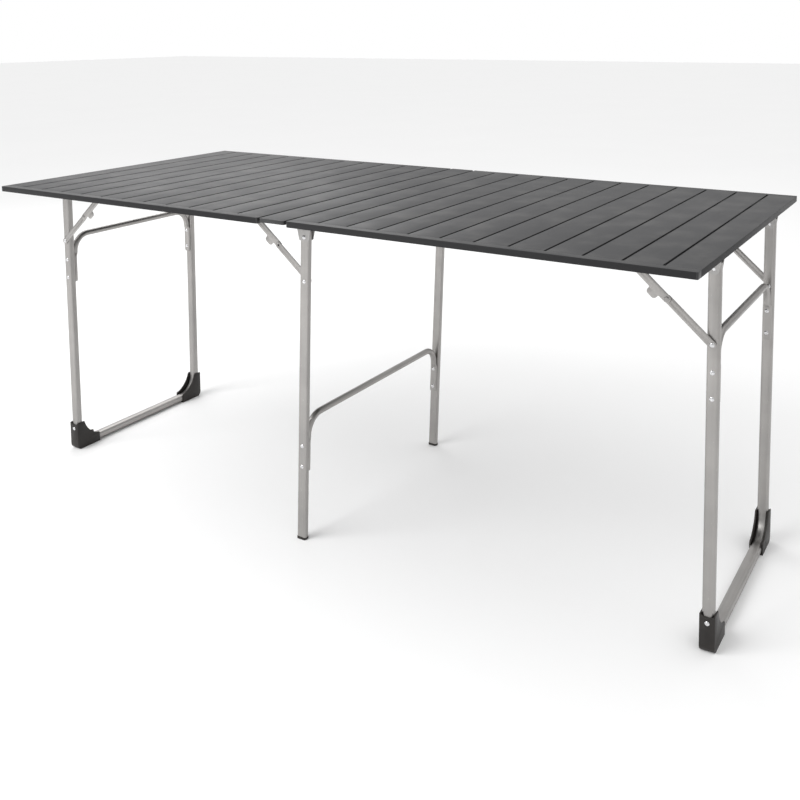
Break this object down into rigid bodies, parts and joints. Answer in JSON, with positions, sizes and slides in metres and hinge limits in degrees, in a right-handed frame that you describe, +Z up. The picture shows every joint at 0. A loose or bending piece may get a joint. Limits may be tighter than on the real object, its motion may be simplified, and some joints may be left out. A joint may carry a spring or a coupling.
{
  "type": "folding table",
  "caption": "Folding table with a slatted top in two panels, a centre spine, U-shaped end leg frames and a pair of middle legs with locking braces.",
  "frame": {"origin": "centre of the table's footprint, on the floor", "axes": "+X along the table's length, +Y to the back, +Z up"},
  "size_m": [1.7826, 0.83, 0.77],
  "materials": {
    "slat_coating": "dark grey powder coat on aluminium extrusion",
    "cap_plastic": "fine moulded texture",
    "boot_plastic": "moulded",
    "rivet_steel": "bright",
    "plate_steel": "zinc plated",
    "leg_aluminium": "satin anodised"
  },
  "bodies": {
    "spine": {"spine_slat": "slat_coating", "spine_end_caps": "cap_plastic", "spine_hinge_leaves": "plate_steel", "spine_pins": "rivet_steel", "middle_leg_brackets": "plate_steel"},
    "left_panel": {"left_slat_01": "slat_coating", "left_slat_02": "slat_coating", "left_slat_03": "slat_coating", "left_slat_04": "slat_coating", "left_slat_05": "slat_coating", "left_slat_06": "slat_coating", "left_slat_07": "slat_coating", "left_slat_08": "slat_coating", "left_slat_09": "slat_coating", "left_slat_10": "slat_coating", "left_slat_11": "slat_coating", "left_slat_12": "slat_coating", "left_rails": "slat_coating", "left_rail_caps": "cap_plastic", "left_stringers": "leg_aluminium", "left_hinge_leaves": "plate_steel", "left_brackets": "plate_steel", "left_panel_rivets": "rivet_steel"},
    "left_leg": {"left_leg_tube": "leg_aluminium", "left_crossbar": "leg_aluminium", "left_boots": "boot_plastic", "left_leg_rivets": "rivet_steel"},
    "left_lower_links": {"left_lower_links": "plate_steel"},
    "left_upper_links": {"left_upper_links": "plate_steel"},
    "right_panel": {"right_slat_01": "slat_coating", "right_slat_02": "slat_coating", "right_slat_03": "slat_coating", "right_slat_04": "slat_coating", "right_slat_05": "slat_coating", "right_slat_06": "slat_coating", "right_slat_07": "slat_coating", "right_slat_08": "slat_coating", "right_slat_09": "slat_coating", "right_slat_10": "slat_coating", "right_slat_11": "slat_coating", "right_slat_12": "slat_coating", "right_rails": "slat_coating", "right_rail_caps": "cap_plastic", "right_stringers": "leg_aluminium", "right_hinge_leaves": "plate_steel", "right_brackets": "plate_steel", "right_panel_rivets": "rivet_steel"},
    "right_leg": {"right_leg_tube": "leg_aluminium", "right_crossbar": "leg_aluminium", "right_boots": "boot_plastic", "right_leg_rivets": "rivet_steel"},
    "right_lower_links": {"right_lower_links": "plate_steel"},
    "right_upper_links": {"right_upper_links": "plate_steel"},
    "middle_leg": {"middle_leg_front": "leg_aluminium", "middle_leg_back": "leg_aluminium", "middle_crossbar": "leg_aluminium", "middle_glides": "boot_plastic", "middle_leg_rivets": "rivet_steel"},
    "middle_lower_links": {"middle_lower_links": "plate_steel"},
    "middle_upper_links": {"middle_upper_links": "plate_steel"}
  },
  "joints": [
    {"name": "left_panel_fold", "type": "hinge", "parent": "spine", "child": "left_panel", "pos_m": [-0.037, 0, 0.746], "axis": [0, -1, 0], "range_deg": [0, 90]},
    {"name": "left_leg_fold", "type": "hinge", "parent": "left_panel", "child": "left_leg", "pos_m": [-0.861, 0, 0.735], "axis": [0, -1, 0], "range_deg": [0, 91.2]},
    {"name": "left_upper_link_turn", "type": "hinge", "parent": "left_panel", "child": "left_upper_links", "pos_m": [-0.7081, 0, 0.735], "axis": [0, -1, 0], "range_deg": [0, 138.47]},
    {"name": "left_lower_link_turn", "type": "hinge", "parent": "left_leg", "child": "left_lower_links", "pos_m": [-0.86389, 0, 0.59703], "axis": [0, 1, 0], "range_deg": [0, 132.73]},
    {"name": "right_panel_fold", "type": "hinge", "parent": "spine", "child": "right_panel", "pos_m": [0.037, 0, 0.746], "axis": [0, 1, 0], "range_deg": [0, 90]},
    {"name": "right_leg_fold", "type": "hinge", "parent": "right_panel", "child": "right_leg", "pos_m": [0.861, 0, 0.735], "axis": [0, 1, 0], "range_deg": [0, 91.2]},
    {"name": "right_upper_link_turn", "type": "hinge", "parent": "right_panel", "child": "right_upper_links", "pos_m": [0.7081, 0, 0.735], "axis": [0, 1, 0], "range_deg": [0, 138.47]},
    {"name": "right_lower_link_turn", "type": "hinge", "parent": "right_leg", "child": "right_lower_links", "pos_m": [0.86389, 0, 0.59703], "axis": [0, -1, 0], "range_deg": [0, 132.73]},
    {"name": "middle_leg_swing", "type": "hinge", "parent": "spine", "child": "middle_leg", "pos_m": [0, 0, 0.712], "axis": [0, -1, 0], "range_deg": [0, 2.4]},
    {"name": "middle_upper_link_turn", "type": "hinge", "parent": "left_panel", "child": "middle_upper_links", "pos_m": [-0.15, 0, 0.735], "axis": [0, -1, 0], "range_deg": [0, 43.31]},
    {"name": "middle_lower_link_turn", "type": "hinge", "parent": "middle_leg", "child": "middle_lower_links", "pos_m": [-0.00419, 0, 0.61209], "axis": [0, 1, 0], "range_deg": [0, 35.82]}
  ],
  "couplings": [
    {"joint": "left_upper_link_turn", "follows": "left_leg_fold", "ratio": 1.5183},
    {"joint": "left_lower_link_turn", "follows": "left_leg_fold", "ratio": 1.4554},
    {"joint": "right_upper_link_turn", "follows": "right_leg_fold", "ratio": 1.5183},
    {"joint": "right_lower_link_turn", "follows": "right_leg_fold", "ratio": 1.4554},
    {"joint": "middle_upper_link_turn", "follows": "left_panel_fold", "ratio": 0.48119},
    {"joint": "middle_lower_link_turn", "follows": "left_panel_fold", "ratio": 0.39799}
  ]
}
